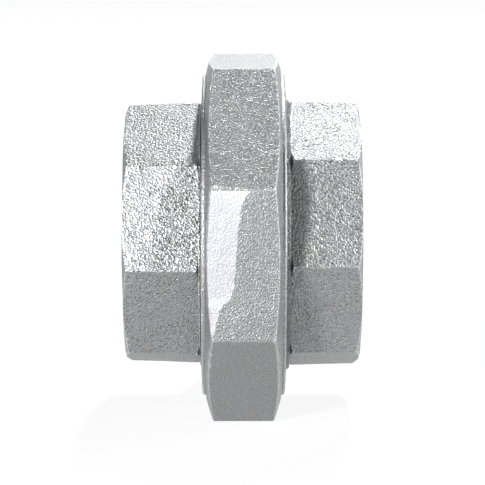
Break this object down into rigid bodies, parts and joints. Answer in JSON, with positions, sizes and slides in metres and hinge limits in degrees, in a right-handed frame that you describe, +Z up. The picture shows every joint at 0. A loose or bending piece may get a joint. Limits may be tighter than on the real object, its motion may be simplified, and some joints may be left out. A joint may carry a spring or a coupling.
{
  "type": "pipe union",
  "caption": "Ground-joint pipe union with two octagonal threaded ends drawn together by an octagonal nut on a screw thread.",
  "frame": {"origin": "on the pipe axis, in the middle of the overall length", "axes": "+X along the pipe axis towards the thread piece's socket, +Z up, with the nut's flats square to Y and Z"},
  "size_m": [0.1, 0.1514, 0.1514],
  "materials": {
    "zinc_ends": "sand-cast malleable iron, hot-dip galvanized, machined bores and threads",
    "zinc_nut": "sand-cast malleable iron, hot-dip galvanized, machined thread",
    "brass": "turned"
  },
  "bodies": {
    "thread_end": {"thread_piece": "zinc_ends", "brass_seat": "brass"},
    "tail_end": {"tail_piece": "zinc_ends"},
    "nut": {"union_nut": "zinc_nut"}
  },
  "joints": [
    {"name": "tail_withdraw", "type": "slide", "parent": "thread_end", "child": "tail_end", "axis": [-1, 0, 0], "range_m": [0, 0.02287]},
    {"name": "nut_spin", "type": "hinge", "parent": "tail_end", "child": "nut", "pos_m": [0, 0, 0], "axis": [-1, 0, 0], "range_deg": [0, 3240]}
  ],
  "couplings": [
    {"joint": "tail_withdraw", "follows": "nut_spin", "m_per_rad": 0.00040425}
  ]
}
